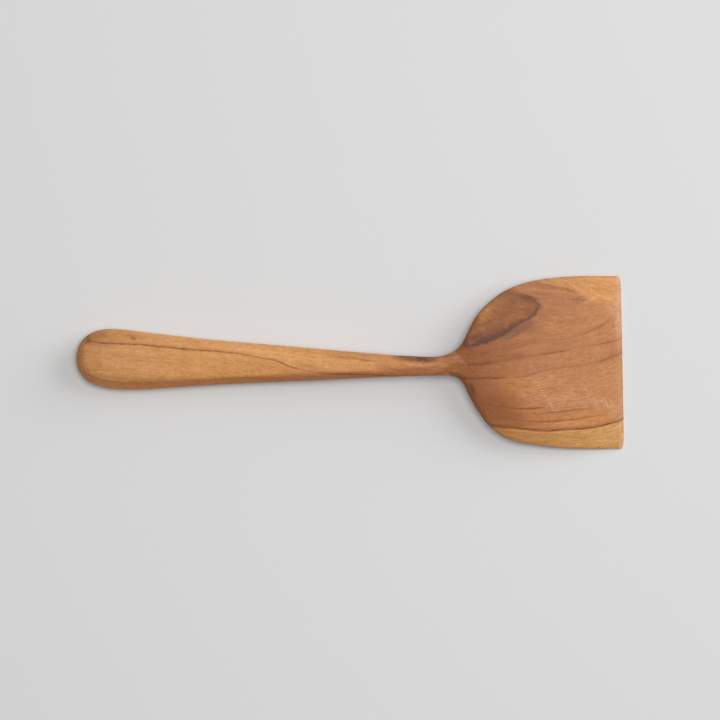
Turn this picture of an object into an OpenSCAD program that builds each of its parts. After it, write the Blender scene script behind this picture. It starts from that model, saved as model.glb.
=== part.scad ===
// Wooden spatula: a turner carved from one piece of teak.
// It lies face up, on the underside of its bulb and on the front of its blade.
// The handle runs along X with the blade at +X, the upper face is +Z, and the
// origin is on the table under the middle of the object.

/* [Handle] */
// From the tip of the handle to the narrowest part of the neck
handle_length = 196; // [170:1:240]
// From the tip to the place where the bulb is widest
bulb_reach = 22; // [16:1:30]
// Width of the bulb
bulb_width = 33; // [26:0.2:40]
// Thickness of the bulb
bulb_thickness = 17.5; // [14:0.5:22]
// How far the tip is rounded off, seen from the side
tip_round = 6; // [5:1:20]
// From the tip to the middle of the grip
grip_reach = 95; // [75:1:120]
// Width at the middle of the grip
grip_width = 22; // [17:0.2:27]
// Thickness at the middle of the grip
grip_thickness = 14.6; // [11:0.2:18]
// Width of the neck at its narrowest
neck_width = 10.4; // [8:0.2:14]
// Thickness of the neck at its narrowest
neck_thickness = 10.4; // [8:0.2:14]
// Height left at the rim under the facets along both sides of the handle
facet_rim = 0.6; // [0.4:0.1:2.5]

/* [Blade] */
// From the narrowest part of the neck to the front edge
blade_length = 104; // [85:1:125]
// Width of the blade
blade_width = 95.2; // [75:0.2:115]
// Thickness where the neck runs into the blade
root_thickness = 9; // [7:0.2:12]
// Thickness in the middle of the blade
blade_thickness = 5.8; // [4:0.2:8]
// Thickness of the blade just behind the bevel of its front edge
front_thickness = 2.6; // [2:0.1:4]
// Thickness left at the front edge
edge_thickness = 1.1; // [0.6:0.1:1.8]
// Depth planed off the underside at the front edge, so that it lies flat
planed_depth = 1.8; // [0.8:0.1:3]
// Length of the bevel along the front edge
bevel_length = 2.6; // [2.4:0.1:5]
// How far back the two front corners start to round off
corner_depth = 2; // [1:0.1:2.4]
// How far in from the side the front corners are rounded off
corner_width = 7; // [2:0.5:12]
// How far one front corner stands back from the other
front_slant = 1.8; // [0:0.1:3]

/* [Side profile] */
// Height of the underside above the table at the middle of the grip
grip_lift = 2.4; // [0.5:0.1:5]
// Height of the underside above the table at the neck
neck_lift = 8.8; // [5:0.2:14]
// Height of the underside where the neck runs into the blade
root_lift = 9.4; // [5:0.2:14]
// Height of the underside in the middle of the blade
blade_lift = 7.4; // [3:0.2:10]
// How far the long sides of the blade drop below its middle
blade_camber = 1.8; // [0:0.1:3]
// Depth sanded off the underside where it stands
resting_flat = 0.25; // [0.1:0.05:0.5]

/* [Carving by hand] */
// How far the centre line wanders to each side, seen from above
wander = 2.4; // [0:0.1:4]
// Steepest angle of the outline where the neck flares into the blade
flare_angle = 65; // [55:1:70]
// Angle of the outline at the shoulder of the blade
shoulder_angle = 24; // [18:1:30]

/* [Smoothness] */
// Points round each cross section
ring_points = 56; // [24:4:56]
// Cross sections in each of the longer spans of the outline
span_steps = 12; // [6:1:14]

/* [Hidden] */

overall_length = handle_length + blade_length;
front = overall_length;

// Shapes of the cross sections: 2 is an ellipse, and more is squarer
grip_squareness = 3.1;
neck_squareness = 2.2;
blade_squareness = 15;
underside_softness = 0.8;

// Where the facets along the handle start, as a share of its half width
facet_start_share = 0.62;

handle_roll = 2.1;
blade_roll = 2;

// Places on the blade, as shares of its length from the neck
root_share = 0.19;
settled_share = 0.33;
middle_share = 0.52;

// Knots of the outline on the blade: share of its length, share of its half width
flare_shares = [0.177, 0.37];
shoulder_shares = [0.389, 0.866];
side_share = 0.865;

// How far each span's curve leans on its knots, as shares of the span
tip_lean_shares = [0.41, 0.73];
taper_lean_shares = [0.185, 0.433];
neck_lean_shares = [0.3, 0.2];
flare_lean_shares = [0.76, 0.43];
shoulder_lean_shares = [0.42, 0.56];
side_lean_shares = [0.26, 0.3];

// Slope of the outline at the grip, as a share of the straight run to the neck
grip_slope_share = 0.82;

// Thickness at the rim, as a share of the thickness in the middle
root_rim_share = 0.55;
middle_rim_share = 0.72;

// Where the centre line wanders to: share of the handle or blade, share of the wander
handle_wander_shares = [
    [0, 1], [0.06, 1], [0.11, 0.8], [0.2, 0.39], [0.32, 0.14], [0.5, -0.14], [0.75, -0.58], [1, -0.86]
];
blade_wander_shares = [
    [0.09, -0.37], [0.165, 0.1], [0.22, 0.05], [0.29, -0.38], [0.385, -0.33], [0.52, -0.04], [0.62, 0], [1, 0]
];

grip_angle = atan((neck_width - bulb_width) / 2 / (handle_length - bulb_reach) * grip_slope_share);

function along_blade(share) = handle_length + blade_length * share;

// A knot is a place, a half width and the direction of the outline there
tip_knot = [0, 0, 90];
bulb_knot = [bulb_reach, bulb_width / 2, 0];
grip_knot = [grip_reach, grip_width / 2, grip_angle];
neck_knot = [handle_length, neck_width / 2, 0];
flare_knot = [along_blade(flare_shares[0]), blade_width / 2 * flare_shares[1], flare_angle];
shoulder_knot = [along_blade(shoulder_shares[0]), blade_width / 2 * shoulder_shares[1], shoulder_angle];
side_knot = [along_blade(side_share), blade_width / 2, 0];

// A span of the outline between two knots, as points of place and half width
function leant(knot, reach) = [knot[0] + reach * cos(knot[2]), knot[1] + reach * sin(knot[2])];
function bezier(a, b, c, d, t) =
    a * pow(1 - t, 3) + 3 * b * t * pow(1 - t, 2) + 3 * c * t * t * (1 - t) + d * pow(t, 3);
function span(from, to, lean, steps) =
    let (
        run = to[0] - from[0],
        start = [from[0], from[1]],
        end = [to[0], to[1]],
        out = leant(from, run * lean[0]),
        back = leant(to, -run * lean[1])
    )
    [for (step = [1 : steps]) bezier(start, out, back, end, step / steps)];

// The side runs straight to the bevel, and the corner is a quarter of an ellipse
side_end = front - max(bevel_length, corner_depth);
side_steps = ceil(span_steps / 2);
corner_steps = ceil(span_steps / 2);
straight_side = [
    for (step = [1 : side_steps])
        [side_knot[0] + (side_end - side_knot[0]) * step / side_steps, blade_width / 2]
];
corner = [
    for (step = [0 : corner_steps])
        let (turn = 90 * step / corner_steps)
        [front - corner_depth * (1 - sin(turn)), blade_width / 2 - corner_width * (1 - cos(turn))]
];

outline = concat(
    span(tip_knot, bulb_knot, tip_lean_shares, span_steps),
    span(bulb_knot, grip_knot, taper_lean_shares, span_steps),
    span(grip_knot, neck_knot, neck_lean_shares, span_steps),
    span(neck_knot, flare_knot, flare_lean_shares, span_steps),
    span(flare_knot, shoulder_knot, shoulder_lean_shares, span_steps),
    span(shoulder_knot, side_knot, side_lean_shares, span_steps),
    straight_side,
    corner
);

// A smooth curve through a table of places and values, level at its start and wherever
// the values turn, and straight off its end
function slope_between(table, i) = (table[i + 1][1] - table[i][1]) / (table[i + 1][0] - table[i][0]);
function slope_at(table, i) =
    i == 0 ? 0 :
    i == len(table) - 1 ? slope_between(table, i - 1) :
    let (before = slope_between(table, i - 1), after = slope_between(table, i))
    before * after <= 0 ? 0 : 2 * before * after / (before + after);
function stretch(table, place, i = 0) =
    i >= len(table) - 2 || place < table[i + 1][0] ? i : stretch(table, place, i + 1);
function hermite(low, high, low_slope, high_slope, run, t) =
    low * (2 * pow(t, 3) - 3 * t * t + 1) + high * (3 * t * t - 2 * pow(t, 3))
    + run * low_slope * (pow(t, 3) - 2 * t * t + t) + run * high_slope * (pow(t, 3) - t * t);
function smooth(table, place) =
    place <= table[0][0] ? table[0][1] :
    place >= table[len(table) - 1][0] ? table[len(table) - 1][1] :
    let (
        i = stretch(table, place),
        run = table[i + 1][0] - table[i][0],
        t = (place - table[i][0]) / run
    )
    hermite(table[i][1], table[i + 1][1], slope_at(table, i), slope_at(table, i + 1), run, t);

// The side profile: thickness in the middle, height of the underside, drop and rim
root = along_blade(root_share);
settled = along_blade(settled_share);
middle = along_blade(middle_share);
bevel_start = front - bevel_length;
thickness_table = [
    [bulb_reach, bulb_thickness],
    [grip_reach, grip_thickness],
    [handle_length, neck_thickness],
    [root, root_thickness],
    [middle, blade_thickness],
    [front, front_thickness + planed_depth]
];
lift_table = [
    [bulb_reach, 0],
    [grip_reach, grip_lift],
    [handle_length, neck_lift],
    [root, root_lift],
    [middle, blade_lift],
    [front, -planed_depth]
];
camber_table = [
    [handle_length, 0],
    [settled, blade_camber],
    [middle, blade_camber],
    [front, 0]
];
rim_table = [
    [handle_length, 1],
    [root, root_rim_share],
    [middle, middle_rim_share],
    [front, 1]
];
squareness_table = [
    [grip_reach, grip_squareness],
    [handle_length, neck_squareness],
    [settled, blade_squareness],
    [middle, blade_squareness]
];
facet_table = [
    [handle_length, 1],
    [root, 0]
];
roll_table = [
    [handle_length, handle_roll],
    [settled, blade_roll],
    [middle, blade_roll]
];
wander_table = concat(
    [for (pair = handle_wander_shares) [pair[0] * handle_length, pair[1] * wander]],
    [for (pair = blade_wander_shares) [along_blade(pair[0]), pair[1] * wander]]
);

function superellipse(share, squareness, roll) = pow(1 - pow(min(abs(share), 1), squareness), 1 / roll);
function tip_share(place) = superellipse(max(1 - place / tip_round, 0), handle_roll, handle_roll);
function bevel_share(place) = min(max((place - bevel_start) / bevel_length, 0), 1);

// A facet runs straight down from its start to the rim, and fades out where the blade begins
function facet_share(place, across_share) =
    let (
        depth = max(abs(across_share) - facet_start_share, 0) / (1 - facet_start_share),
        rim_share = facet_rim / max(core_half(place), facet_rim)
    )
    1 - smooth(facet_table, place) * depth * (1 - rim_share);
function core_height(place) = smooth(lift_table, place) + smooth(thickness_table, place) / 2;
function core_half(place) = smooth(thickness_table, place) / 2 * tip_share(place);
function bevel_drop(place) = (front_thickness - edge_thickness) * bevel_share(place);

// The front edge stands back evenly from its -Y corner to its +Y corner
forward_start = along_blade(middle_share);
function forward_share(place) = pow(max(place - forward_start, 0) / (front - forward_start), 2);
function set_back(across) = front_slant * (across + blade_width / 2 - corner_width) / blade_width;

// One point of a cross section, at an angle round it from the +Y side. The upper and lower
// faces are rounded over to meet at the rim, and the lower one is planed off at the table.
function section_point(place, half_width, angle) =
    let (
        across_share = cos(angle),
        over = sin(angle) >= 0,
        outwards = across_share * across_share,
        centre = core_height(place) - smooth(camber_table, place) * outwards,
        half_thick = core_half(place) * (1 - (1 - smooth(rim_table, place)) * outwards),
        upper = centre + half_thick - bevel_drop(place),
        lower = max(centre - half_thick, 0),
        squareness = smooth(squareness_table, place) * (over ? 1 : underside_softness),
        rounded = superellipse(across_share, squareness, smooth(roll_table, place)),
        round_over = over ? min(rounded, facet_share(place, across_share)) : rounded,
        half_way = (upper + lower) / 2,
        height = half_way + (over ? upper - half_way : lower - half_way) * round_over
    )
    [
        place - set_back(half_width * across_share) * forward_share(place) - overall_length / 2,
        half_width * across_share + smooth(wander_table, place),
        max(height - resting_flat, 0)
    ];
function section(place, half_width) = [
    for (step = [0 : ring_points - 1])
        section_point(place, half_width, 360 * step / ring_points)
];

ring_count = len(outline);
tip_point = [-overall_length / 2, smooth(wander_table, 0), core_height(0) - resting_flat];
surface_points = concat(
    [tip_point],
    [for (station = outline) each section(station[0], station[1])]
);
function corner_of(ring, step) = 1 + ring * ring_points + step % ring_points;

tip_faces = [for (step = [0 : ring_points - 1]) [0, corner_of(0, step), corner_of(0, step + 1)]];
side_faces = [
    for (ring = [0 : ring_count - 2], step = [0 : ring_points - 1], half = [0, 1])
        half == 0
            ? [corner_of(ring, step), corner_of(ring + 1, step), corner_of(ring + 1, step + 1)]
            : [corner_of(ring, step), corner_of(ring + 1, step + 1), corner_of(ring, step + 1)]
];

// The blunt front edge is a strip of faces between its upper and lower points
last = ring_count - 1;
edge_faces = concat(
    [[corner_of(last, 0), corner_of(last, ring_points - 1), corner_of(last, 1)]],
    [
        for (step = [1 : ring_points / 2 - 2], half = [0, 1])
            half == 0
                ? [corner_of(last, step), corner_of(last, ring_points - step),
                   corner_of(last, ring_points - step - 1)]
                : [corner_of(last, step), corner_of(last, ring_points - step - 1),
                   corner_of(last, step + 1)]
    ],
    [[corner_of(last, ring_points / 2 - 1), corner_of(last, ring_points / 2 + 1),
      corner_of(last, ring_points / 2)]]
);

// The whole spatula: handle, neck and blade are one carved piece
module spatula() {
    color("peru")
        polyhedron(points = surface_points, faces = concat(tip_faces, side_faces, edge_faces), convexity = 4);
}

spatula();
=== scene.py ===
"""A hand-carved teak turner lying on a pale table, seen from straight above.

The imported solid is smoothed, given the faint hollows of the knife and finished as oiled teak. The
figure of the wood runs right through it, so that every side shows the same growth layers.
"""
import math

import bmesh
import bpy
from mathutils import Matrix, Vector, noise
from mathutils.bvhtree import BVHTree


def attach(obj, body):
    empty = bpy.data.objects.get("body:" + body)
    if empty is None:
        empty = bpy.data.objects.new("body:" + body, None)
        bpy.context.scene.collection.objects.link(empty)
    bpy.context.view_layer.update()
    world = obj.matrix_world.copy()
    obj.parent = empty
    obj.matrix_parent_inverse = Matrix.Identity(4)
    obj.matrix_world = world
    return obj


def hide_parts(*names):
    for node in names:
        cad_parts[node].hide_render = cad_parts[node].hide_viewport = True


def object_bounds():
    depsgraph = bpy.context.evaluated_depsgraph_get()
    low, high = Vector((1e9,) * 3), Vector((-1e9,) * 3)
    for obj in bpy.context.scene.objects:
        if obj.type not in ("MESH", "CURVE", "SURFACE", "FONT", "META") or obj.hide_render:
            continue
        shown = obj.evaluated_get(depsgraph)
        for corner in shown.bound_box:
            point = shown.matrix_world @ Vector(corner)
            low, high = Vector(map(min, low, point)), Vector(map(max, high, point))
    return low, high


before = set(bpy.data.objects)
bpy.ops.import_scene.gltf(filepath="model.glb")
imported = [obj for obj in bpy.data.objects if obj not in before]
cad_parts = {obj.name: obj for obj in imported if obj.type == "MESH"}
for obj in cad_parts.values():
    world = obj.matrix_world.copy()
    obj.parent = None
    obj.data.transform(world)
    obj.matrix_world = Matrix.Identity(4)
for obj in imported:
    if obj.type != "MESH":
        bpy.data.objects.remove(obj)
cad_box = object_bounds()

MM = 0.001

# The photograph: its side in pixels, and where the tip, the front edge and the middle lie in it
PHOTO_SIDE = 720
TIP_PX = 77
FRONT_PX = 624
MIDDLE_ROW_PX = 362.5

CAD_LOW, CAD_HIGH = cad_box
LENGTH_MM = (CAD_HIGH.x - CAD_LOW.x) / MM
MM_PER_PX = LENGTH_MM / (FRONT_PX - TIP_PX)

# How far a growth layer leans sideways for each millimetre of height
LAYER_LEAN = 0.55
# Growth layers are followed this far to each side of the middle, in millimetres
WIDEST_MM = 80


def linear(hex_colour):
    """An sRGB hex colour as linear red, green, blue and alpha."""
    shares = [int(hex_colour[i : i + 2], 16) / 255 for i in (1, 3, 5)]
    bent = [s / 12.92 if s <= 0.04045 else ((s + 0.055) / 1.055) ** 2.4 for s in shares]
    return (*bent, 1)


# Sockets are told by number where that is shorter. A Map Range has its source at 0, the lowest and
# highest value of the source at 1 and 2, and what it gives there at 3 and 4
def add(tree, kind, inputs=None, output=0, **settings):
    """Adds one node with its settings, fills its sockets with values or links, gives an output."""
    node = tree.nodes.new(kind)
    for name, value in settings.items():
        setattr(node, name, value)
    for socket, value in (inputs or {}).items():
        if isinstance(value, bpy.types.NodeSocket):
            tree.links.new(value, node.inputs[socket])
        else:
            node.inputs[socket].default_value = value
    return node.outputs[output] if node.outputs else node


def photo_point(px, py):
    """The place on the table, in millimetres, that a pixel of the photograph shows."""
    x = (px - (TIP_PX + FRONT_PX) / 2) * MM_PER_PX
    y = (MIDDLE_ROW_PX - py) * MM_PER_PX
    return x, y


# The carved solid

# Sides of a face that are merged into one smooth skin, and how finely that skin is divided
MERGE_REACH = 0.01 * MM
FLAT_JOIN_ANGLE = math.radians(40)
SKIN_LEVELS = 2
# Edges of the carved facets stay nearly crisp: how far the faces turn there, and how crisp
FACET_TURN = math.radians(16)
FACET_CREASE = 0.6
# How far up a face looks, as a share, when its edges may be a facet's
FACET_UPWARD = 0.3
# Knife hollows: how deep, long and wide they are, up to which height the underside stays flat,
# and over how much more height they fade in
HOLLOW_DEPTH = 0.16 * MM
HOLLOW_LENGTH = 21 * MM
HOLLOW_WIDTH = 9 * MM
RESTING_HEIGHT = 0.3 * MM
HOLLOW_FADE = 1 * MM


def carve_hollows(skin):
    """Presses faint knife hollows into the skin, always inwards and never where it rests."""
    for vertex in skin.verts:
        place = vertex.co
        sample = Vector((place.x / HOLLOW_LENGTH, place.y / HOLLOW_WIDTH, place.z / HOLLOW_WIDTH))
        share = 0.5 + 0.5 * noise.noise(sample)
        clear = min(max((place.z - RESTING_HEIGHT) / HOLLOW_FADE, 0), 1)
        vertex.co = place - vertex.normal * HOLLOW_DEPTH * share * clear


def make_spatula():
    """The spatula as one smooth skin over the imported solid."""
    skin = bmesh.new()
    skin.from_mesh(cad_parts["spatula"].data)
    bmesh.ops.remove_doubles(skin, verts=skin.verts[:], dist=MERGE_REACH)
    bmesh.ops.join_triangles(
        skin,
        faces=skin.faces[:],
        cmp_seam=False,
        cmp_sharp=False,
        cmp_uvs=False,
        cmp_vcols=False,
        cmp_materials=False,
        angle_face_threshold=FLAT_JOIN_ANGLE,
        angle_shape_threshold=FLAT_JOIN_ANGLE,
    )
    skin.normal_update()
    crease = skin.edges.layers.float.new("crease_edge")
    for edge in skin.edges:
        turned = edge.calc_face_angle(0) > FACET_TURN
        if turned and min(face.normal.z for face in edge.link_faces) > FACET_UPWARD:
            edge[crease] = FACET_CREASE
    carve_hollows(skin)
    for face in skin.faces:
        face.smooth = True
    mesh = bpy.data.meshes.new("teak_spatula")
    skin.to_mesh(mesh)
    skin.free()
    spatula = bpy.data.objects.new("teak_spatula", mesh)
    bpy.context.scene.collection.objects.link(spatula)
    smooth = spatula.modifiers.new("smooth_skin", "SUBSURF")
    smooth.levels = SKIN_LEVELS
    smooth.render_levels = SKIN_LEVELS
    return spatula


# The figure of the wood, read off the photograph

solid = bmesh.new()
solid.from_mesh(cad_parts["spatula"].data)
SURFACE = BVHTree.FromBMesh(solid)
solid.free()
MIDDLE_HEIGHT = (CAD_LOW.z + CAD_HIGH.z) / 2


def height_over(x, y):
    """Height of the upper face over a place on the table, in millimetres."""
    hit = SURFACE.ray_cast(Vector((x * MM, y * MM, 1)), Vector((0, 0, -1)))[0]
    if hit is None:
        hit = SURFACE.find_nearest(Vector((x * MM, y * MM, MIDDLE_HEIGHT)))[0]
    return hit.z / MM


def grain_point(px, py):
    """How far along the wood a pixel lies, and how far across its leaning layers."""
    x, y = photo_point(px, py)
    return x, y + LAYER_LEAN * height_over(x, y)


def along_px(px):
    """How far along the wood a column of the photograph is, in millimetres."""
    return photo_point(px, MIDDLE_ROW_PX)[0]


# Heartwood from the bulb to the front edge: column in pixels and colour
HEARTWOOD = {
    "bulb end": (84, "#BA7F4B"),
    "bulb": (110, "#C68D58"),
    "grip": (200, "#CE9155"),
    "wrist": (375, "#C68650"),
    "neck": (425, "#AC7040"),
    "root": (468, "#895028"),
    "blade": (528, "#AC7148"),
    "front": (610, "#B77C4E"),
}
# Golden wood above the handle's main line: where it starts and is full, in millimetres above
# that line, and how much of it shows, by column in pixels
GOLDEN_HANDLE = {
    "colour": "#D89B61",
    "softness_mm": (-0.2, 1.4),
    "shown": ((77, 0.1), (105, 0.2), (150, 0.55), (230, 0.9), (330, 0.75), (400, 0)),
}
# Wood of another colour on one side of a layer: its colour at two columns in pixels, how soft its
# border is and how streaky it is
GOLDEN_TOP = {
    "colours": (("#A8784E", 505), ("#CC8F57", 600)),
    "softness_mm": 2.2,
    "streaks": 0.1,
}
SAPWOOD = {
    "colours": (("#AE7941", 495), ("#C69157", 612)),
    "softness_mm": 0.3,
    "streaks": 0.13,
}
# Where the front edge is pale, partly worn and partly a painted highlight on the bevel that faces
# the light: its colour, the columns in pixels where this starts and is full, and how pale it is, by
# millimetres across the blade
WORN_AND_LIT_FRONT = "#D2AA90"
WORN_AND_LIT_COLUMNS_PX = (609, 621)
WORN_AND_LIT_SHARES = (
    (-48, 0.1), (-20, 0.15), (0, 0.08), (10, 0.12), (20, 0.35), (36, 0.45), (48, 0.3),
)

# Growth layers that the others lie level with: their route in pixels, from the bulb to the front
# edge, how dark the line is along it, the half width of the line and the width of the soft shade
# above it in millimetres
LAYERS = {
    "sapwood border": {
        "route_px": (
            (77, 420), (200, 424), (340, 426), (440, 424), (489, 424.7), (513, 428), (540, 430),
            (564, 429.4), (591, 427.4), (607, 424.2), (624, 420.6),
        ),
        "shown": ((470, 0), (486, 0.6), (500, 1), (560, 1), (600, 1), (624, 1)),
        "half_mm": 0.45,
        "shade_mm": 2.4,
        "colour": "#6E3C1E",
    },
    "main line": {
        "route_px": (
            (77, 339), (90, 340.5), (103, 343), (120, 344), (152, 346), (188, 349.5), (223, 352),
            (239, 354), (260, 358), (277, 361), (292, 367), (304, 370), (320, 373), (344, 374),
            (370, 375), (388, 376), (420, 377), (454, 376.5), (478, 378), (504, 377.6),
            (524, 375.8), (544, 371.2), (570.6, 366.5), (597.4, 361.8), (624, 353.6),
        ),
        "shown": (
            (80, 0), (88, 0.4), (100, 0.6), (120, 0.75), (200, 0.8), (260, 0.6), (292, 0.75),
            (304, 0.4), (318, 0.5), (335, 1), (345, 1), (376, 1), (390, 0.7), (415, 0.1),
            (446, 0.1), (456, 0.6), (472, 1), (502, 1), (507, 0.2), (522, 0.45), (545, 0.3),
            (570, 0.35), (588, 0.25), (600, 0.5), (622, 0.7),
        ),
        "half_mm": 0.4,
        "shade_mm": 2.4,
        "colour": "#6E3A20",
    },
    "inner line": {
        "route_px": (
            (77, 318), (150, 330), (240, 343), (300, 351), (338, 357), (355, 359), (373, 361),
            (400, 360), (431, 361), (464, 364.6), (487, 363.4), (510, 359.5), (529, 356),
            (540, 354.2), (563, 351.3), (580, 346.8), (602, 343.9), (624, 340),
        ),
        "shown": (
            (325, 0), (345, 0.4), (373, 0.3), (400, 0.1), (440, 0.1), (462, 0.5), (482, 0.85),
            (496, 0.4), (515, 0.2), (529, 0.25), (542, 0.55), (556, 0.65), (566, 0.4), (580, 0.15),
            (596, 0.3), (608, 0.4), (622, 0.25),
        ),
        "half_mm": 0.5,
        "shade_mm": 2.4,
        "colour": "#6E3A24",
    },
    "upper line": {
        "route_px": (
            (77, 300), (200, 322), (320, 342), (400, 351), (440, 353), (464, 354), (485, 351),
            (504, 349), (517, 347), (541, 341), (561, 339.5), (580, 334.7), (594.5, 328.7),
            (604, 324.4), (613, 315), (624, 307),
        ),
        "shown": (
            (470, 0), (490, 0.4), (517, 0.3), (541, 0.3), (561, 0.3), (580, 0.4), (600, 0.6),
            (607, 0.5), (613, 0.15), (624, 0),
        ),
        "half_mm": 0.55,
        "shade_mm": 3,
        "colour": "#8A5034",
    },
    "golden border": {
        "route_px": (
            (77, 220), (240, 226), (380, 240), (440, 254), (480, 267), (500, 275), (520, 280.5),
            (540, 283.6), (551.5, 286), (567.5, 289.6), (584, 297.5), (600, 302), (624, 306),
        ),
        "shown": ((520, 0), (540, 0.5), (556, 0.45), (574, 0.4), (584, 0.3), (592, 0)),
        "half_mm": 0.7,
        "shade_mm": 0.1,
        "colour": "#8E5636",
    },
}

# The border of the handle's lower facet, with a dark line of painted shade along it; it leaves the
# outline where the blade is
LOWER_FACET = {
    "route_px": (
        (77, 368), (90, 375), (98, 378.5), (110, 380.8), (127, 381.4), (150, 381), (180, 380),
        (220, 378.5), (260, 376.5), (300, 374), (340, 372), (380, 370.5), (420, 369.5),
        (444, 370.5), (452, 377), (462, 394), (474, 420), (500, 460), (624, 480),
    ),
    "shown": (
        (80, 0), (88, 0.35), (104, 0.35), (122, 0), (212, 0), (228, 0.4), (240, 0.4), (262, 0.1),
        (300, 0.15), (326, 0), (624, 0),
    ),
    "half_mm": 0.5,
    "shade_mm": 0.1,
    "colour": "#7E4A2A",
}
# Painted shade: the lower facet faces away from the light and is painted darker and browner
LOWER_FACET_PAINTED_SHADE = {
    "colours": (("#C47E48", 100), ("#B47446", 390)),
    "softness_mm": 1.4,
    "streaks": 0.06,
}

# Short fine lines between them, told in the same way
FINE_LINES = {
    "upper fine line of the lower blade": {
        "route_px": ((480, 403.5), (486, 404.5), (505, 407), (522, 408.3), (545, 407.5)),
        "shown": ((480, 0), (488, 0.5), (510, 0.9), (530, 1), (545, 0)),
        "half_mm": 0.35,
        "shade_mm": 1.5,
        "colour": "#7C4526",
    },
    "middle fine line of the lower blade": {
        "route_px": (
            (536, 413.5), (545, 412.8), (561, 411.5), (576, 410), (588, 409), (598, 408.6),
        ),
        "shown": ((536, 0), (545, 0.6), (560, 0.85), (576, 0.7), (588, 0.4), (598, 0)),
        "half_mm": 0.35,
        "shade_mm": 1.5,
        "colour": "#824C2C",
    },
    "lower fine line of the lower blade": {
        "route_px": (
            (490, 414), (507, 418), (520, 420.5), (555, 421), (574, 419), (590, 417), (612, 414.5),
        ),
        "shown": ((490, 0), (500, 0.45), (520, 0.6), (550, 0.9), (575, 0.7), (595, 0.4), (612, 0)),
        "half_mm": 0.35,
        "shade_mm": 1.6,
        "colour": "#7A4626",
    },
    "upper edge line of the grip": {
        "route_px": ((96, 334.5), (112, 333.8), (130, 336.2), (150, 340), (168, 344)),
        "shown": ((96, 0.1), (104, 0.4), (118, 0.15), (133, 0.4), (150, 0.1), (168, 0)),
        "half_mm": 0.6,
        "shade_mm": 0.1,
        "colour": "#A2643A",
    },
    "lower fibre of the neck": {
        "route_px": ((392, 369), (404, 370.5), (420, 369), (436, 371.5), (452, 371)),
        "shown": ((388, 0), (400, 0.6), (420, 0.45), (440, 0.5), (452, 0)),
        "half_mm": 0.6,
        "shade_mm": 0.1,
        "colour": "#8E5630",
    },
}

# The knot that the blade's upper shoulder cuts through: its rim as pixel, darkness and half width
# of the dark rim in millimetres, going round against the clock from its left side
KNOT_CENTRE_PX = (510, 313)
KNOT_RIM = (
    (474, 322, 0, 1), (465, 338, 0.3, 1), (465.5, 345.5, 0.85, 1.4), (472.5, 345, 1, 2.8),
    (479.5, 343.8, 1, 3.6), (485, 342, 1, 3.6), (494, 338.8, 1, 2.9), (504, 334, 1, 2.3),
    (511, 329.2, 1, 1.9), (517, 325, 1, 1.5), (523, 321.4, 0.95, 1.2), (529, 318, 0.9, 1),
    (534, 313.8, 0.85, 1.2), (537.5, 308.7, 0.8, 1.4), (538, 304.5, 0.7, 1.5),
    (535.4, 301.2, 0.7, 1.6), (530, 298.5, 0.75, 1.6), (524, 296.5, 0.6, 1.8),
    (515, 294, 0.4, 2.2), (505, 292.5, 0.35, 2.4), (497, 294, 0.3, 2), (487, 303, 0.1, 1.5),
)
KNOT_COLOURS = {"rim": "#4E3025", "heart": "#8E5733", "gold": "#A27046"}
# The knot is golden on its upper left and turns brown towards its lower right: that direction
# along and across the wood, and where it starts and ends in millimetres from the knot's centre
KNOT_FADE = (0.64, -0.77, 0)
KNOT_FADE_MM = {1: -12, 2: -4}
# How brown and gold swirl into each other
KNOT_SWIRL_SIZES_MM = (7, 3.5, 6)
KNOT_SWIRL = {1: 0.3, 2: 0.7, 3: -0.4, 4: 0.3}
# How uneven the rim is, and over which millimetres inside it the knot's wood and its dark set in
KNOT_ROUGH = {"sizes_mm": (5, 1.8, 4), "reach_mm": 1.3}
KNOT_WOOD_MM = {1: -1, 2: 2}
KNOT_OUTSIDE_MM = {1: -2, 2: 0.3}
# What the rim is told by in each direction, with the value that stands for 1 in its curve
KNOT_RIM_CURVES = {"reach": 60, "slant": 1, "dark": 1, "half": 3}
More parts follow.
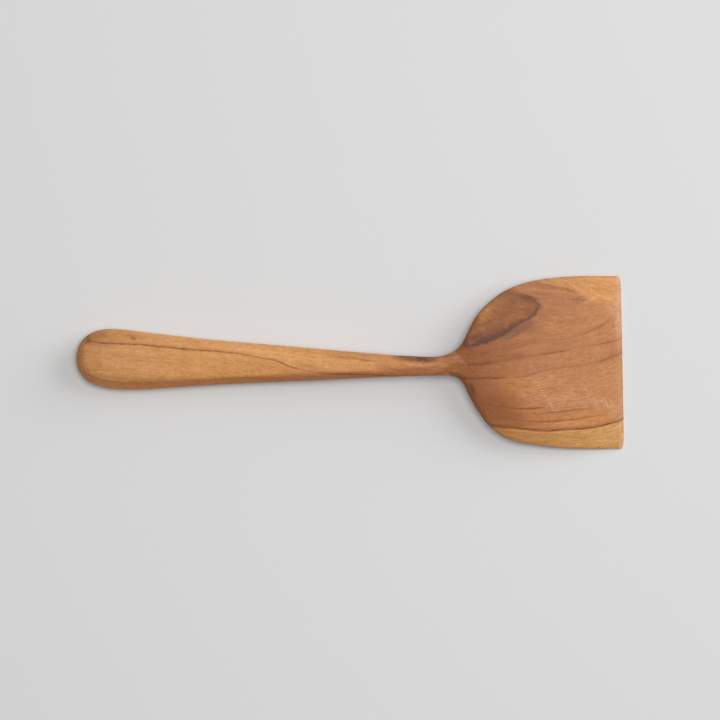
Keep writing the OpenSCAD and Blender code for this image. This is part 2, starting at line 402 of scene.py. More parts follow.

# Marks laid into the colour, by what they are: stains and figure of the wood, and some painted
# highlight and painted shade. Each has its centre, length and width in pixels, tilt in degrees and
# strength
MARKS = {
    "dark stain": {
        "colour": "#5F3A2F",
        "marks": (
            (410, 356.8, 34, 6, -2, 0.75), (423, 358.6, 27, 7, 1, 1), (392, 354.2, 44, 3, -4, 0.7),
            (399, 358.8, 14, 2, -3, 0.5), (424, 360.6, 13, 2.4, 0, 1),
            (413, 360.6, 11, 2.2, 0, 0.8), (487, 360, 3.5, 2.5, 0, 0.6),
            (471.8, 388.5, 14, 4.5, -72, 1), (604, 343.6, 12, 2, 6, 0.3),
            (604, 361, 12, 2.4, 14, 0.4), (583, 300.4, 6, 3, -10, 0.6), (89, 341, 18, 6, -14, 0.5),
            (478, 363.8, 12, 2, 0, 0.4), (506, 331.5, 18, 5, 34, 0.6), (600, 327.6, 9, 2, 25, 0.35),
            (494, 337.5, 18, 4, 20, 0.5), (478, 341, 20, 6, 14, 0.6), (468, 367.5, 6, 2, -60, 0.5),
            (473.5, 364.5, 5, 2, -60, 0.5), (466, 360.5, 5, 2, -50, 0.4),
            (479, 366.5, 5, 2, -60, 0.3), (528, 298, 26, 5, -12, 0.5), (477, 338, 18, 9, 14, 0.7),
            (511, 335, 28, 9, 24, 0.5), (484, 334, 18, 8, 14, 0.35), (470, 343, 10, 7, 0, 0.3),
            (476, 364.6, 22, 3, 4, 0.5), (487, 361.8, 8, 4, 0, 0.5), (553, 287, 12, 1.8, -14, 0.35),
            (567, 288.9, 3.4, 2.4, 0, 0.6), (579, 297.5, 12, 2, 12, 0.5),
            (584, 301, 6, 2.6, 10, 0.5),
        ),
    },
    "purple smear": {
        "colour": "#84533E",
        "marks": (
            (523, 327, 34, 12, 24, 1), (509, 337, 18, 6, 18, 0.6), (571, 291.2, 9, 3.5, -12, 0.7),
            (534, 330, 30, 9, 8, 0.5), (420, 369, 70, 6, 0, 0.25), (513, 333, 18, 6, 28, 0.6),
            (571, 296.4, 11, 2, 4, 0.6), (576, 299.8, 22, 2, -3, 0.75), (578, 303.6, 9, 4, 0, 0.5),
            (541, 308, 5, 16, 0, 0.4), (556, 302, 44, 16, -4, 0.3), (502, 295, 26, 9, 8, 0.2),
            (548, 311, 22, 8, 0, 0.3), (560, 322.4, 12, 3, 4, 0.5), (562, 313, 40, 10, 0, 0.2),
            (547, 320.4, 14, 1.8, 2, 0.5), (545, 324.4, 8, 1.8, 0, 0.4), (559, 297, 22, 3, 0, 0.3),
            (530, 340, 18, 6, 12, 0.2), (452, 369, 20, 2, 0, 0.35), (590, 306, 20, 4, 6, 0.2),
            (579, 301.5, 14, 5, 10, 0.35), (574, 298, 18, 2.4, 6, 0.4), (541, 316, 14, 10, 0, 0.4),
            (468, 343, 10, 6, 0, 0.3), (520, 289, 32, 8, -16, 0.3), (539, 287, 26, 4, -10, 0.4),
            (551, 288.5, 20, 3, -12, 0.4), (569, 305, 34, 7, -4, 0.4), (550, 310, 30, 7, 0, 0.3),
            (545, 296, 30, 5, -8, 0.3), (579, 300.4, 16, 3, -4, 0.6), (583, 306.6, 10, 3, 8, 0.3),
        ),
    },
    "brown wood and painted shade": {
        "colour": "#7A4623",
        "marks": (
            # Painted shade, partly brown wood: the marks on the blade's lower left shoulder, which
            # faces away from the light, and the long one along the grip's lower side. The others
            # are brown stains and figure
            (478, 336, 24, 10, 25, 0.7), (464, 354, 9, 5, 0, 0.55), (476, 398, 40, 14, -62, 0.35),
            (492, 408, 44, 26, -25, 0.4), (497, 417, 36, 10, -14, 0.3),
            (488, 321.5, 14, 3.5, 18, 0.6), (506, 304, 22, 8, 10, 0.3), (492, 329, 30, 10, 26, 0.6),
            (500, 317, 12, 6, 20, 0.35), (536, 293.6, 24, 2.6, -8, 0.4),
            (542, 298.6, 18, 2, 0, 0.3), (516, 356, 26, 12, -4, 0.5), (508, 346, 30, 10, 6, 0.35),
            (565, 344, 110, 11, 9, 0.2), (312, 367.4, 44, 7, -10, 0.35),
            (325, 371.4, 16, 3, -6, 0.4), (383, 367, 20, 7, -4, 0.45), (348, 367.4, 14, 4, 0, 0.15),
            (365, 356.6, 18, 2.6, -4, 0.3), (365, 360.8, 12, 2.4, 0, 0.5),
            (366, 372, 16, 3, 0, 0.35), (88, 371, 9, 14, 20, 0.3), (106, 345, 24, 10, 0, 0.35),
            (548, 419.6, 4, 2, 0, 0.5), (560, 419.2, 5, 1.8, 0, 0.5), (571, 418.6, 4, 1.8, 0, 0.4),
            (542, 413.4, 5, 1.6, 0, 0.4), (513, 393.4, 4, 1.8, -30, 0.4),
            (566, 401.6, 4, 2, 0, 0.35), (580, 409.6, 7, 1.6, 0, 0.4), (477, 381, 26, 7, -4, 0.2),
            (556, 287.6, 18, 2.2, -8, 0.4), (548, 284.5, 16, 1.8, -5, 0.35),
            (464, 347, 12, 12, 0, 0.5), (450, 373, 20, 3, 0, 0.3), (101, 365, 8, 5, -30, 0.3),
            (98, 361, 5, 2.4, -20, 0.35), (134, 338.6, 8, 2.2, -12, 0.8),
            (103, 334.2, 14, 1.6, -4, 0.4), (118, 333, 16, 1.4, 2, 0.3),
            (128, 335.4, 12, 1.4, 8, 0.3), (109, 337, 12, 1.6, 0, 0.25),
            (122, 355, 26, 10, 0, 0.15), (99, 362, 12, 12, 0, 0.15), (563, 288.9, 5, 2, 0, 0.5),
            (589.7, 323.6, 2.6, 2.4, 0, 0.6), (554.5, 420.6, 4.5, 2.2, 0, 0.45),
            (112, 340, 40, 10, -4, 0.25), (512, 396.2, 5, 2, 10, 0.5), (527, 396.2, 3, 2, 0, 0.4),
            (534, 412.4, 5, 2, 0, 0.55), (541, 418.2, 5, 2, 0, 0.45),
            (583, 434.6, 12, 1.6, 0, 0.35), (604.5, 432.8, 8, 1.6, 0, 0.35),
            (584, 437.6, 13, 1.6, 0, 0.3), (610, 437.6, 16, 1.6, 0, 0.25),
            (545, 442, 22, 3, -3, 0.25), (492, 414, 20, 3, -10, 0.3), (612, 305, 3, 12, 10, 0.25),
            (124, 378, 70, 5, -4, 0.2), (495, 406, 46, 28, -28, 0.6), (506, 416, 48, 18, -12, 0.65),
            (524, 424, 50, 6, -3, 0.35), (526, 328, 34, 12, 22, 0.35), (474, 352, 30, 10, 0, 0.2),
            (596, 352, 70, 22, 6, 0.15), (516, 346, 60, 9, 10, 0.25), (504, 357, 50, 12, -4, 0.4),
            (484, 356, 36, 10, 0, 0.2), (590, 368, 50, 10, 12, 0.15), (612, 350, 14, 40, 0, 0.25),
            (471.8, 389, 12, 4, -72, 0.7),
        ),
    },
    "amber wood and painted shade": {
        "colour": "#8A4E22",
        "marks": (
            # Painted shade, partly amber wood: the blade's lower left shoulder, which faces away
            # from the light
            (500, 402, 62, 40, -24, 0.5), (492, 392, 46, 20, 0, 0.3), (512, 414, 44, 16, -8, 0.4),
            (505, 425.5, 50, 8, 2, 0.8), (494, 416, 34, 24, -20, 0.35),
            (486, 414, 26, 18, -40, 0.35),
        ),
    },
    "orange glow": {
        "colour": "#C87828",
        "marks": (
            (540, 422, 90, 16, -2, 0.4), (525, 410, 50, 12, -6, 0.3), (594, 418, 60, 22, 0, 0.3),
            (524, 414, 50, 16, -6, 0.35), (530, 425, 70, 8, 0, 0.35),
        ),
    },
    "golden patch": {
        "colour": "#C98646",
        "marks": (
            (410, 364, 40, 6, 0, 0.4), (524, 386, 64, 28, -8, 0.4), (484, 313, 22, 14, 48, 0.45),
            (493, 300, 14, 8, 40, 0.2), (578, 420, 90, 14, -4, 0.4), (546, 388, 60, 22, -6, 0.2),
            (549, 328, 14, 4, 8, 0.3), (553, 417, 10, 4, 0, 0.3), (543, 371.5, 4, 3, 0, 0.4),
            (566, 368.3, 3.5, 2.6, 0, 0.45), (561, 385, 3, 3, 0, 0.4), (577, 390, 3, 3, 0, 0.35),
            (556, 412, 4, 3, 0, 0.35), (521, 397.4, 14, 1.8, 8, 0.35), (540, 380, 60, 16, 0, 0.15),
        ),
    },
    "pale wood and painted highlight": {
        "colour": "#DBA27A",
        "marks": (
            # Painted highlight: the marks along the neck's ridge, the one by the neck on the upper
            # shoulder and the one on the upper rim above the knot; those at the front edge are
            # partly wear and partly painted highlight on the lit bevel. The others are pale wood
            (612, 306, 16, 30, 0, 0.45), (612, 411, 14, 16, 0, 0.35), (459, 362, 9, 3.4, -25, 0.15),
            (464, 364, 9, 3.2, -50, 0.12), (444, 360.5, 20, 4, 4, 0.2),
            (420, 364.6, 44, 4.4, 0, 0.4), (440, 363.5, 34, 3.2, 6, 0.3),
            (434, 369.4, 14, 2.6, 6, 0.2), (455, 370.6, 14, 3, 0, 0.1), (618, 318, 8, 60, 0, 0.3),
            (601, 350, 26, 5, 8, 0.15), (452, 356, 22, 9, -20, 0.3), (440, 364.5, 22, 7, 0, 0.25),
            (576, 400, 90, 26, -4, 0.2), (606, 403.5, 17, 2.8, -62, 0.6),
            (601, 401, 13, 2.6, -60, 0.5), (611, 402, 13, 2.6, -62, 0.4),
            (551, 407, 19, 3.2, -60, 0.5), (556.5, 410, 14, 3, -60, 0.3),
            (546, 399, 22, 3.2, -64, 0.42), (540, 388, 24, 3.2, -65, 0.34),
            (564, 400, 22, 3.2, -65, 0.4), (573, 396, 24, 3.2, -65, 0.36),
            (587, 393, 24, 3.2, -66, 0.34), (594, 400, 20, 3, -64, 0.36),
            (580, 402, 18, 3, -65, 0.34), (580, 419, 80, 14, 3, 0.1), (545, 380, 60, 14, 0, 0.2),
            (546, 398, 64, 22, -4, 0.2), (566, 423, 60, 8, -3, 0.25), (520, 289, 32, 8, -16, 0.3),
            (592, 300, 26, 14, 0, 0.25), (578, 295, 24, 8, 0, 0.15),
            (461, 361.4, 6, 2.2, -50, 0.35), (465.5, 364.4, 6, 2.2, -50, 0.3),
        ),
    },
}
MARK_ORDER = (
    "golden patch", "pale wood and painted highlight", "orange glow", "amber wood and painted shade", "brown wood and painted shade", "purple smear",
    "dark stain",
)
# How far a mark's soft edge reaches for each pixel of its size, how deep it goes, and how far in
# from its edge, as a share, it has its full strength
MARK_SPREAD_MM = 0.65 * MM_PER_PX
MARK_DEPTH_MM = 8
MARK_CORE = 0.8

# Small waves that the fibres make in the layers: their sizes along, across and through the board,
# and how far they reach
FIBRE_WAVES = {"sizes_mm": (20, 6, 9), "reach_mm": 0.8}
FIBRE_HAIRS = {"sizes_mm": (2.2, 1.4, 4), "reach_mm": 0.35}
# Finer figure: whether it follows the growth layers or the place in the board, the sizes of its
# features along, across and through it in millimetres, and how many times finer ones lie within
FIGURES = {
    "bands": ("layers", (120, 5, 20), 2),
    "streaks": ("layers", (38, 1.5, 6), 3),
    # Teak's pores are 0.3 mm wide and would not show, so they are drawn 0.7 mm wide
    "pores": ("layers", (4.5, 0.7, 2), 2),
    "hairlines": ("layers", (9, 0.7, 3), 2),
    "mottle": ("place", (1.3, 0.9, 1.2), 1),
    "glints": ("place", (2.4, 14, 12), 1),
}
# How much lighter and darker they make the wood: these under the marks, and the pores over them
VARIATIONS = {"bands": 0.06, "streaks": 0.06, "glints": 0.025, "mottle": 0.1, "hairlines": 0.03}
PORE_VARIATION = 0.1
# How much of a change in lightness goes into the depth of the colour too
GRAIN_REDNESS = 0.3

# The sheen of oil that has soaked into sanded wood, and the faint relief of its pores
TEAK_ROUGHNESS = 0.62
TEAK_IOR = 1.47
TEAK_SPECULAR = 0.28
RELIEF_STRENGTH = 0.35
RELIEF_DEPTH = 0.06 * MM

# Noise hardly leaves its middle half
MIDDLE_HALF = {1: 0.25, 2: 0.75}
# How the pores break up the growth lines, the marks and the knot's rim, and darken the wood
BROKEN_LINE = {1: 0.35, 2: 0.6, 3: 0.65, 4: 1.1}
BROKEN_MARK = {1: 0.38, 2: 0.6, 3: 0.35, 4: 1.15}
BROKEN_RIM = {1: 0.35, 2: 0.6, 3: 0.75, 4: 1.05}
OPEN_PORE = {1: 0.32, 2: 0.24, 3: 1, 4: 0.8}
# How dark the soft shade above a growth line starts
LINE_SHADE = 0.4
# A smooth step stays between its two values by itself. It gets no clamp, because every clamp keeps
# a place on the shader's small stack, and with a full stack the wood comes out black
SMOOTH_STEP = {"interpolation_type": "SMOOTHSTEP", "clamp": False}
# A Mix of colours has its share at 0, its colours at 6 and 7, and its result at 2
COLOUR_MIX = {"data_type": "RGBA", "output": 2}


def value_along(tree, source, points, lowest, highest):
    """A value that changes smoothly with its source, drawn through a few chosen points."""
    start = points[0][0]
    end = points[-1][0]
    share = add(tree, "ShaderNodeMapRange", {0: source, 1: start, 2: end})
    curve = add(tree, "ShaderNodeFloatCurve", {1: share})
    bends = curve.node.mapping.curves[0].points
    places = [((x - start) / (end - start), (y - lowest) / (highest - lowest)) for x, y in points]
    bends[0].location = places[0]
    bends[1].location = places[-1]
    for place in places[1:-1]:
        bends.new(*place)
    curve.node.mapping.update()
    return add(tree, "ShaderNodeMapRange", {0: curve, 3: lowest, 4: highest}, clamp=False)


def share_along(tree, wood, shown):
    """A share from 0 to 1 that changes along the wood, told by columns of the photograph."""
    points = [(along_px(px), share) for px, share in shown]
    return value_along(tree, wood["along"], points, 0, 1)


def find_wood(tree):
    """The board's own directions in millimetres: along, across and through its leaning layers."""
    metres = add(tree, "ShaderNodeTexCoord", output=3)
    place = add(tree, "ShaderNodeVectorMath", {0: metres, 3: 1 / MM}, operation="SCALE")
    parts = add(tree, "ShaderNodeSeparateXYZ", {0: place}).node
    x, y, z = parts.outputs
    across = add(tree, "ShaderNodeMath", {0: z, 1: LAYER_LEAN, 2: y}, operation="MULTIPLY_ADD")
    through = add(tree, "ShaderNodeMath", {0: y, 1: -LAYER_LEAN, 2: z}, operation="MULTIPLY_ADD")
    board = add(tree, "ShaderNodeCombineXYZ", {0: x, 1: across, 2: through})
    return {
        "place": place,
        "along": x,
        "side": y,
        "across": across,
        "through": through,
        "board": board,
    }


def grow_figure(tree, place, sizes_mm, detail=2.0, roughness=0.5):
    """Uneven growth: soft noise with features of these sizes in millimetres each way."""
    shares = tuple(1 / size for size in sizes_mm)
    scaled = add(tree, "ShaderNodeVectorMath", {0: place, 1: shares}, operation="MULTIPLY")
    return add(tree, "ShaderNodeTexNoise", {0: scaled, 2: 1.0, 3: detail, 4: roughness})


def shake_fibres(tree, wood):
    """The layers with the small waves that fibres make in them."""
    shaken = wood["across"]
    for fibres in (FIBRE_WAVES, FIBRE_HAIRS):
        reach = fibres["reach_mm"]
        waves = grow_figure(tree, wood["place"], fibres["sizes_mm"])
        waves = add(tree, "ShaderNodeMapRange", {0: waves, 3: -reach, 4: reach}, clamp=False)
        shaken = add(tree, "ShaderNodeMath", {0: shaken, 1: waves})
    return shaken


def level_layers(tree, wood, layers):
    """Across the wood in millimetres, but level along every one of its growth layers."""
    middles = [sum(y for _, y in layer["points"]) / len(layer["points"]) for layer in layers]
    lowest = add(
        tree, "ShaderNodeMath", {0: wood["across"], 1: layers[0]["route"]}, operation="SUBTRACT"
    )
    lowest = add(tree, "ShaderNodeMath", {0: lowest, 1: 0.0}, operation="MINIMUM")
    level = add(tree, "ShaderNodeMath", {0: lowest, 1: middles[0]})
    for i in range(len(layers) - 1):
        step = add(
            tree,
            "ShaderNodeMapRange",
            {
                0: wood["across"],
                1: layers[i]["route"],
                2: layers[i + 1]["route"],
                4: middles[i + 1] - middles[i],
            },
        )
        level = add(tree, "ShaderNodeMath", {0: level, 1: step})
    highest = add(
        tree, "ShaderNodeMath", {0: wood["across"], 1: layers[-1]["route"]}, operation="SUBTRACT"
    )
    highest = add(tree, "ShaderNodeMath", {0: highest, 1: 0.0}, operation="MAXIMUM")
    return add(tree, "ShaderNodeMath", {0: level, 1: highest})


def follow_layer(tree, wood, layer):
    """Finds a layer's route, and how far above it each point of the wood lies."""
    points = [grain_point(px, py) for px, py in layer["route_px"]]
    route = value_along(tree, wood["along"], points, -WIDEST_MM, WIDEST_MM)
    above = add(tree, "ShaderNodeMath", {0: wood["shaken"], 1: route}, operation="SUBTRACT")
    return {**layer, "points": points, "route": route, "above": above}


def draw_growth_line(tree, wood, colour, layer):
    """Darkens one growth layer, crisp on its lower side and soft above it."""
    above = layer["above"]
    half = layer["half_mm"]
    distance = add(tree, "ShaderNodeMath", {0: above}, operation="ABSOLUTE")
    core = add(tree, "ShaderNodeMapRange", {0: distance, 2: 2 * half, 3: 1, 4: 0}, **SMOOTH_STEP)
    shade = add(
        tree, "ShaderNodeMapRange", {0: above, 2: layer["shade_mm"], 3: LINE_SHADE, 4: 0},
        **SMOOTH_STEP,
    )
    over = add(tree, "ShaderNodeMapRange", {0: above, 1: -half, 2: 0}, **SMOOTH_STEP)
    shade = add(tree, "ShaderNodeMath", {0: shade, 1: over}, operation="MULTIPLY")
    mark = add(tree, "ShaderNodeMath", {0: core, 1: shade}, operation="MAXIMUM")
    strength = share_along(tree, wood, layer["shown"])
    broken = add(tree, "ShaderNodeMapRange", {0: wood["pores"], **BROKEN_LINE}, **SMOOTH_STEP)
    mark = add(tree, "ShaderNodeMath", {0: mark, 1: strength}, operation="MULTIPLY")
    mark = add(tree, "ShaderNodeMath", {0: mark, 1: broken}, operation="MULTIPLY")
    dark = linear(layer["colour"])
    return add(tree, "ShaderNodeMix", {0: mark, 6: colour, 7: dark}, **COLOUR_MIX)


def rim_turns():
    """The knot's rim by direction: its reach, the slant of the rim there, darkness and width."""
    centre = Vector(grain_point(*KNOT_CENTRE_PX))
    spots = [Vector(grain_point(px, py)) - centre for px, py, _, _ in KNOT_RIM]
    turns = []
    for i, spot in enumerate(spots):
        rim = (spots[(i + 1) % len(spots)] - spots[i - 1]).normalized()
        slant = abs(spot.normalized().cross(rim))
        turns.append((math.atan2(spot.y, spot.x), spot.length, slant, *KNOT_RIM[i][2:]))
    return centre, sorted(turns)


def draw_knot_rim(tree, turn, turns):
    """The reach, slant, darkness and half width of the knot's rim in each direction."""
    rim = {}
    for index, (name, highest) in enumerate(KNOT_RIM_CURVES.items(), 1):
        ends = (turns[0][index] + turns[-1][index]) / 2
        points = [(-math.pi, ends), *((spot[0], spot[index]) for spot in turns), (math.pi, ends)]
        rim[name] = value_along(tree, turn, points, 0, highest)
    return rim


def draw_knot(tree, wood, colour):
    """An eye of swirled wood, brown and gold inside a dark rim."""
    centre, turns = rim_turns()
    from_centre = add(
        tree, "ShaderNodeVectorMath", {0: wood["board"], 1: (*centre, 0)}, operation="SUBTRACT"
    )
    parts = add(tree, "ShaderNodeSeparateXYZ", {0: from_centre}).node
    u, v, _ = parts.outputs
    flat = add(tree, "ShaderNodeCombineXYZ", {0: u, 1: v})
    reach = add(tree, "ShaderNodeVectorMath", {0: flat}, output=1, operation="LENGTH")
    turn = add(tree, "ShaderNodeMath", {0: v, 1: u}, operation="ARCTAN2")
    rim = draw_knot_rim(tree, turn, turns)

    rough = grow_figure(tree, wood["place"], KNOT_ROUGH["sizes_mm"], detail=3, roughness=0.6)
    uneven = KNOT_ROUGH["reach_mm"]
    rough = add(tree, "ShaderNodeMapRange", {0: rough, 3: -uneven, 4: uneven}, clamp=False)
    inside = add(tree, "ShaderNodeMath", {0: rim["reach"], 1: reach}, operation="SUBTRACT")
    inside = add(tree, "ShaderNodeMath", {0: inside, 1: rim["slant"]}, operation="MULTIPLY")
    inside = add(tree, "ShaderNodeMath", {0: inside, 1: rough})

    lower = add(
        tree, "ShaderNodeVectorMath", {0: flat, 1: KNOT_FADE}, output=1, operation="DOT_PRODUCT"
    )
    heart = add(tree, "ShaderNodeMapRange", {0: lower, **KNOT_FADE_MM})
    swirl = grow_figure(tree, wood["place"], KNOT_SWIRL_SIZES_MM, detail=3)
    swirl = add(tree, "ShaderNodeMapRange", {0: swirl, **KNOT_SWIRL})
    heart = add(tree, "ShaderNodeMath", {0: heart, 1: swirl}, use_clamp=True)
    gold = linear(KNOT_COLOURS["gold"])
    brown = linear(KNOT_COLOURS["heart"])
    eye = add(tree, "ShaderNodeMix", {0: heart, 6: gold, 7: brown}, **COLOUR_MIX)
    inner = add(tree, "ShaderNodeMapRange", {0: inside, **KNOT_WOOD_MM}, **SMOOTH_STEP)
    colour = add(tree, "ShaderNodeMix", {0: inner, 6: colour, 7: eye}, **COLOUR_MIX)

    widest = add(tree, "ShaderNodeMath", {0: rim["half"], 1: 2.0}, operation="MULTIPLY")
    edge = add(
        tree, "ShaderNodeMapRange", {0: inside, 1: 0, 2: widest, 3: 1, 4: 0}, **SMOOTH_STEP
    )
    outer = add(tree, "ShaderNodeMapRange", {0: inside, **KNOT_OUTSIDE_MM}, **SMOOTH_STEP)
    broken = add(tree, "ShaderNodeMapRange", {0: wood["pores"], **BROKEN_RIM})
    for share in (outer, rim["dark"], broken):
        edge = add(tree, "ShaderNodeMath", {0: edge, 1: share}, operation="MULTIPLY")
    dark = linear(KNOT_COLOURS["rim"])
    return add(tree, "ShaderNodeMix", {0: edge, 6: colour, 7: dark}, **COLOUR_MIX)


def draw_marks(tree, wood, colour, kind):
    """Lays soft, feathered marks of one kind into the wood, each a few millimetres deep."""
    together = None
    for px, py, length, width, tilt, strength in kind["marks"]:
        x, across = grain_point(px, py)
        y = photo_point(px, py)[1]
        through = height_over(x, y) - LAYER_LEAN * y
        spot = add(
            tree,
            "ShaderNodeMapping",
            {
                0: wood["uneven"],
                1: (x, across, through),
                2: (0, 0, math.radians(tilt)),
                3: (length * MARK_SPREAD_MM, width * MARK_SPREAD_MM, MARK_DEPTH_MM),
            },
            vector_type="TEXTURE",
        )
        oval = add(tree, "ShaderNodeTexGradient", {0: spot}, output=1, gradient_type="SPHERICAL")
        mark = add(
            tree, "ShaderNodeMapRange", {0: oval, 1: 0, 2: MARK_CORE, 4: strength}, **SMOOTH_STEP
        )
        if together is not None:
            mark = add(tree, "ShaderNodeMath", {0: mark, 1: together}, operation="MAXIMUM")
        together = mark
    share = add(tree, "ShaderNodeMath", {0: together, 1: wood["feathers"]}, operation="MULTIPLY")
    stain = linear(kind["colour"])
    return add(tree, "ShaderNodeMix", {0: share, 6: colour, 7: stain}, **COLOUR_MIX)


def vary(tree, colour, figure, amount):
    """Makes the wood lighter and darker by up to this share, and redder where it is darker."""
    value = add(
        tree, "ShaderNodeMapRange", {0: figure, **MIDDLE_HALF, 3: 1 - amount, 4: 1 + amount}
    )
    redder = amount * GRAIN_REDNESS
    depth = add(
        tree, "ShaderNodeMapRange", {0: figure, **MIDDLE_HALF, 3: 1 + redder, 4: 1 - redder}
    )
    return add(tree, "ShaderNodeHueSaturation", {1: depth, 2: value, 4: colour})


def draw_zone(tree, wood, colour, above, zone):
    """Turns one side of a layer to its own streaky colour, which changes along it: other wood, and
    painted shade on the handle's lower facet.
    """
    (first, start), (last, end) = zone["colours"]
    soft = zone["softness_mm"]
    share = add(tree, "ShaderNodeMapRange", {0: above, 1: -soft, 2: soft}, **SMOOTH_STEP)
    run = add(tree, "ShaderNodeMapRange", {0: wood["along"], 1: along_px(start), 2: along_px(end)})
    paint = add(tree, "ShaderNodeMix", {0: run, 6: linear(first), 7: linear(last)}, **COLOUR_MIX)
    paint = vary(tree, paint, wood["hairlines"], zone["streaks"])
    return add(tree, "ShaderNodeMix", {0: share, 6: colour, 7: paint}, **COLOUR_MIX)


def pale_worn_and_lit_front(tree, wood, colour):
    """Pales the front edge: partly wear, where use has scraped the oil away, partly a painted
    highlight on its lit bevel.
    """
    start, end = (along_px(px) for px in WORN_AND_LIT_COLUMNS_PX)
    near = add(tree, "ShaderNodeMapRange", {0: wood["along"], 1: start, 2: end}, **SMOOTH_STEP)
    worn_and_lit = value_along(tree, wood["side"], WORN_AND_LIT_SHARES, 0, 1)
    share = add(tree, "ShaderNodeMath", {0: near, 1: worn_and_lit}, operation="MULTIPLY")
    return add(tree, "ShaderNodeMix", {0: share, 6: colour, 7: linear(WORN_AND_LIT_FRONT)}, **COLOUR_MIX)


def draw_heartwood(tree, wood):
    """The brown of the heartwood, which changes along the board."""
    stops = list(HEARTWOOD.values())
    start = along_px(stops[0][0])
    end = along_px(stops[-1][0])
    share = add(tree, "ShaderNodeMapRange", {0: wood["along"], 1: start, 2: end})
    heartwood = add(tree, "ShaderNodeValToRGB", {0: share})
    ramp = heartwood.node.color_ramp
    for px, shade in stops[1:-1]:
        ramp.elements.new((along_px(px) - start) / (end - start)).color = linear(shade)
    ramp.elements[0].color = linear(stops[0][1])
    ramp.elements[-1].color = linear(stops[-1][1])
    return heartwood


def gild_handle(tree, wood, colour, above):
    """Turns the handle golden above its main line, strongest along the grip."""
    start, end = GOLDEN_HANDLE["softness_mm"]
    golden = add(tree, "ShaderNodeMapRange", {0: above, 1: start, 2: end}, **SMOOTH_STEP)
    reach = share_along(tree, wood, GOLDEN_HANDLE["shown"])
    share = add(tree, "ShaderNodeMath", {0: golden, 1: reach}, operation="MULTIPLY")
    gold = linear(GOLDEN_HANDLE["colour"])
    return add(tree, "ShaderNodeMix", {0: share, 6: colour, 7: gold}, **COLOUR_MIX)


def oiled_teak():
    """Plain-sawn teak, sanded and rubbed with oil: golden brown, fine dark lines, a satin sheen."""
    material = bpy.data.materials.new("sanded_oiled_teak")
    material.use_nodes = True
    tree = material.node_tree
    tree.nodes.clear()
    wood = find_wood(tree)
    wood["shaken"] = shake_fibres(tree, wood)
    wood["uneven"] = add(
        tree, "ShaderNodeCombineXYZ", {0: wood["along"], 1: wood["shaken"], 2: wood["through"]}
    )
    lines = {name: follow_layer(tree, wood, layer) for name, layer in LAYERS.items()}
    level = level_layers(tree, wood, list(lines.values()))
    wood["layers"] = add(
        tree, "ShaderNodeCombineXYZ", {0: wood["along"], 1: level, 2: wood["through"]}
    )
    for name, (place, sizes_mm, detail) in FIGURES.items():
        wood[name] = grow_figure(tree, wood[place], sizes_mm, detail)
    wood["feathers"] = add(tree, "ShaderNodeMapRange", {0: wood["pores"], **BROKEN_MARK})

    colour = draw_heartwood(tree, wood)
    colour = gild_handle(tree, wood, colour, lines["main line"]["above"])
    # Painted shade on the handle's lower facet: darker and browner below its border, with a dark
    # line
    facet = follow_layer(tree, wood, LOWER_FACET)
    under = add(tree, "ShaderNodeMath", {0: facet["above"], 1: -1.0}, operation="MULTIPLY")
    colour = draw_zone(tree, wood, colour, under, LOWER_FACET_PAINTED_SHADE)
    colour = draw_knot(tree, wood, colour)
    colour = draw_zone(tree, wood, colour, lines["golden border"]["above"], GOLDEN_TOP)
    border = lines["sapwood border"]["above"]
    below = add(tree, "ShaderNodeMath", {0: border, 1: -1.0}, operation="MULTIPLY")
    colour = draw_zone(tree, wood, colour, below, SAPWOOD)
    # The pale front edge is partly wear and partly a painted highlight
    colour = pale_worn_and_lit_front(tree, wood, colour)
    for name, amount in VARIATIONS.items():
        colour = vary(tree, colour, wood[name], amount)
    for name in MARK_ORDER:
        colour = draw_marks(tree, wood, colour, MARKS[name])
    for layer in (*lines.values(), facet):
        colour = draw_growth_line(tree, wood, colour, layer)
    for line in FINE_LINES.values():
        colour = draw_growth_line(tree, wood, colour, follow_layer(tree, wood, line))
    colour = vary(tree, colour, wood["pores"], PORE_VARIATION)
    pores = add(tree, "ShaderNodeMapRange", {0: wood["pores"], **OPEN_PORE})
    colour = add(tree, "ShaderNodeHueSaturation", {2: pores, 4: colour})

    height = add(tree, "ShaderNodeMath", {0: wood["pores"], 1: wood["streaks"]})
    relief = add(
        tree, "ShaderNodeBump", {0: RELIEF_STRENGTH, 1: RELIEF_DEPTH, "Height": height}
    )
    surface = add(
        tree,
        "ShaderNodeBsdfPrincipled",
        {
            "Base Color": colour,
            "Roughness": TEAK_ROUGHNESS,
            "IOR": TEAK_IOR,
            "Specular IOR Level": TEAK_SPECULAR,
            "Normal": relief,
        },
    )
    add(tree, "ShaderNodeOutputMaterial", {0: surface})
    return material


# Table, light and camera

TABLE_SIDE = 6
TABLE_COLOUR = "#DCDCDC"
CAMERA_HEIGHT = 2.4
SENSOR_MM = 36
# The frame fits at the height of the blade's rim, just inside its front edge
RIM_COLUMN_PX = FRONT_PX - 2
# Softboxes: side in metres, power in watts, and where they hang, in degrees and metres
WINDOW = {"side": 2.2, "power": 39, "azimuth": 25, "elevation": 29, "distance": 2.4}
CEILING = {"side": 1.2, "power": 41, "azimuth": 60, "elevation": 85, "distance": 2.6}
ROOM_COLOUR = "#FFFFFF"
ROOM_LIGHT = 0.136
BACKDROP_COLOUR = "#DCDCDC"


def make_table():
    """A plain pale table top that the spatula lies on."""
    top = bmesh.new()
    bmesh.ops.create_grid(top, x_segments=1, y_segments=1, size=TABLE_SIDE / 2)
    mesh = bpy.data.meshes.new("table_top")
    top.to_mesh(mesh)
    top.free()
    table = bpy.data.objects.new("table_top", mesh)
    bpy.context.scene.collection.objects.link(table)
    material = bpy.data.materials.new("matt_table_paint")
    material.use_nodes = True
    tree = material.node_tree
    tree.nodes.clear()
    surface = add(tree, "ShaderNodeBsdfDiffuse", {0: linear(TABLE_COLOUR)})
    add(tree, "ShaderNodeOutputMaterial", {0: surface})
    table.data.materials.append(material)


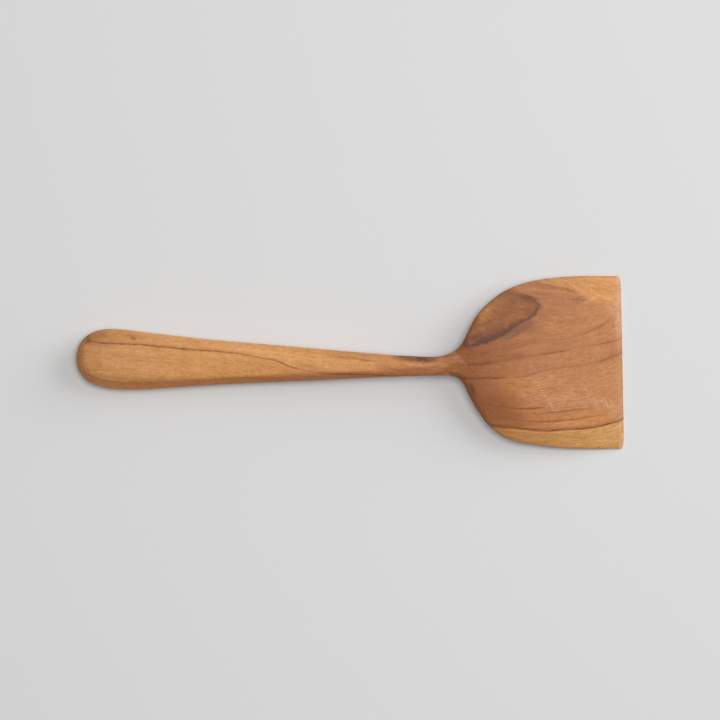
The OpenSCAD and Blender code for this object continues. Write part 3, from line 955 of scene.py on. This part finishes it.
def hang_softbox(name, box):
    """A square soft light aimed at the middle of the table."""
    turn = math.radians(box["azimuth"])
    rise = math.radians(box["elevation"])
    direction = Vector(
        (math.cos(turn) * math.cos(rise), math.sin(turn) * math.cos(rise), math.sin(rise))
    )
    lamp = bpy.data.lights.new(name, "AREA")
    lamp.shape = "SQUARE"
    lamp.size = box["side"]
    lamp.energy = box["power"]
    softbox = bpy.data.objects.new(name, lamp)
    softbox.location = direction * box["distance"]
    softbox.rotation_euler = direction.to_track_quat("Z", "Y").to_euler()
    bpy.context.scene.collection.objects.link(softbox)


def light_room():
    """A wide soft light overhead, a low window to the upper right, and a pale backdrop."""
    world = bpy.data.worlds.new("pale_room")
    world.use_nodes = True
    tree = world.node_tree
    tree.nodes.clear()
    room = add(tree, "ShaderNodeBackground", {0: linear(ROOM_COLOUR), 1: ROOM_LIGHT})
    backdrop = add(tree, "ShaderNodeBackground", {0: linear(BACKDROP_COLOUR), 1: 1.0})
    rays = add(tree, "ShaderNodeLightPath").node.outputs
    seen = add(
        tree, "ShaderNodeMath", {0: rays["Is Camera Ray"], 1: rays["Is Glossy Ray"]},
        operation="MAXIMUM",
    )
    seen = add(
        tree, "ShaderNodeMath", {0: seen, 1: rays["Is Transmission Ray"]}, operation="MAXIMUM"
    )
    glow = add(tree, "ShaderNodeMixShader", {0: seen, 1: room, 2: backdrop})
    add(tree, "ShaderNodeOutputWorld", {0: glow})
    bpy.context.scene.world = world
    hang_softbox("window", WINDOW)
    hang_softbox("ceiling", CEILING)


def place_camera():
    """Looks straight down, with the photograph's frame on the spatula."""
    centre = photo_point(PHOTO_SIDE / 2, PHOTO_SIDE / 2)
    camera = bpy.data.objects.new("camera", bpy.data.cameras.new("camera"))
    camera.data.sensor_width = SENSOR_MM
    view_side = PHOTO_SIDE * MM_PER_PX * MM
    rim_height = height_over(*photo_point(RIM_COLUMN_PX, MIDDLE_ROW_PX)) * MM
    camera.data.lens = SENSOR_MM * (CAMERA_HEIGHT - rim_height) / view_side
    camera.location = (centre[0] * MM, centre[1] * MM, CAMERA_HEIGHT)
    bpy.context.scene.collection.objects.link(camera)
    bpy.context.scene.camera = camera


spatula = make_spatula()
spatula.data.materials.append(oiled_teak())
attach(spatula, "root")
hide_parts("spatula")
make_table()
light_room()
place_camera()
bpy.context.scene.view_settings.view_transform = "Standard"
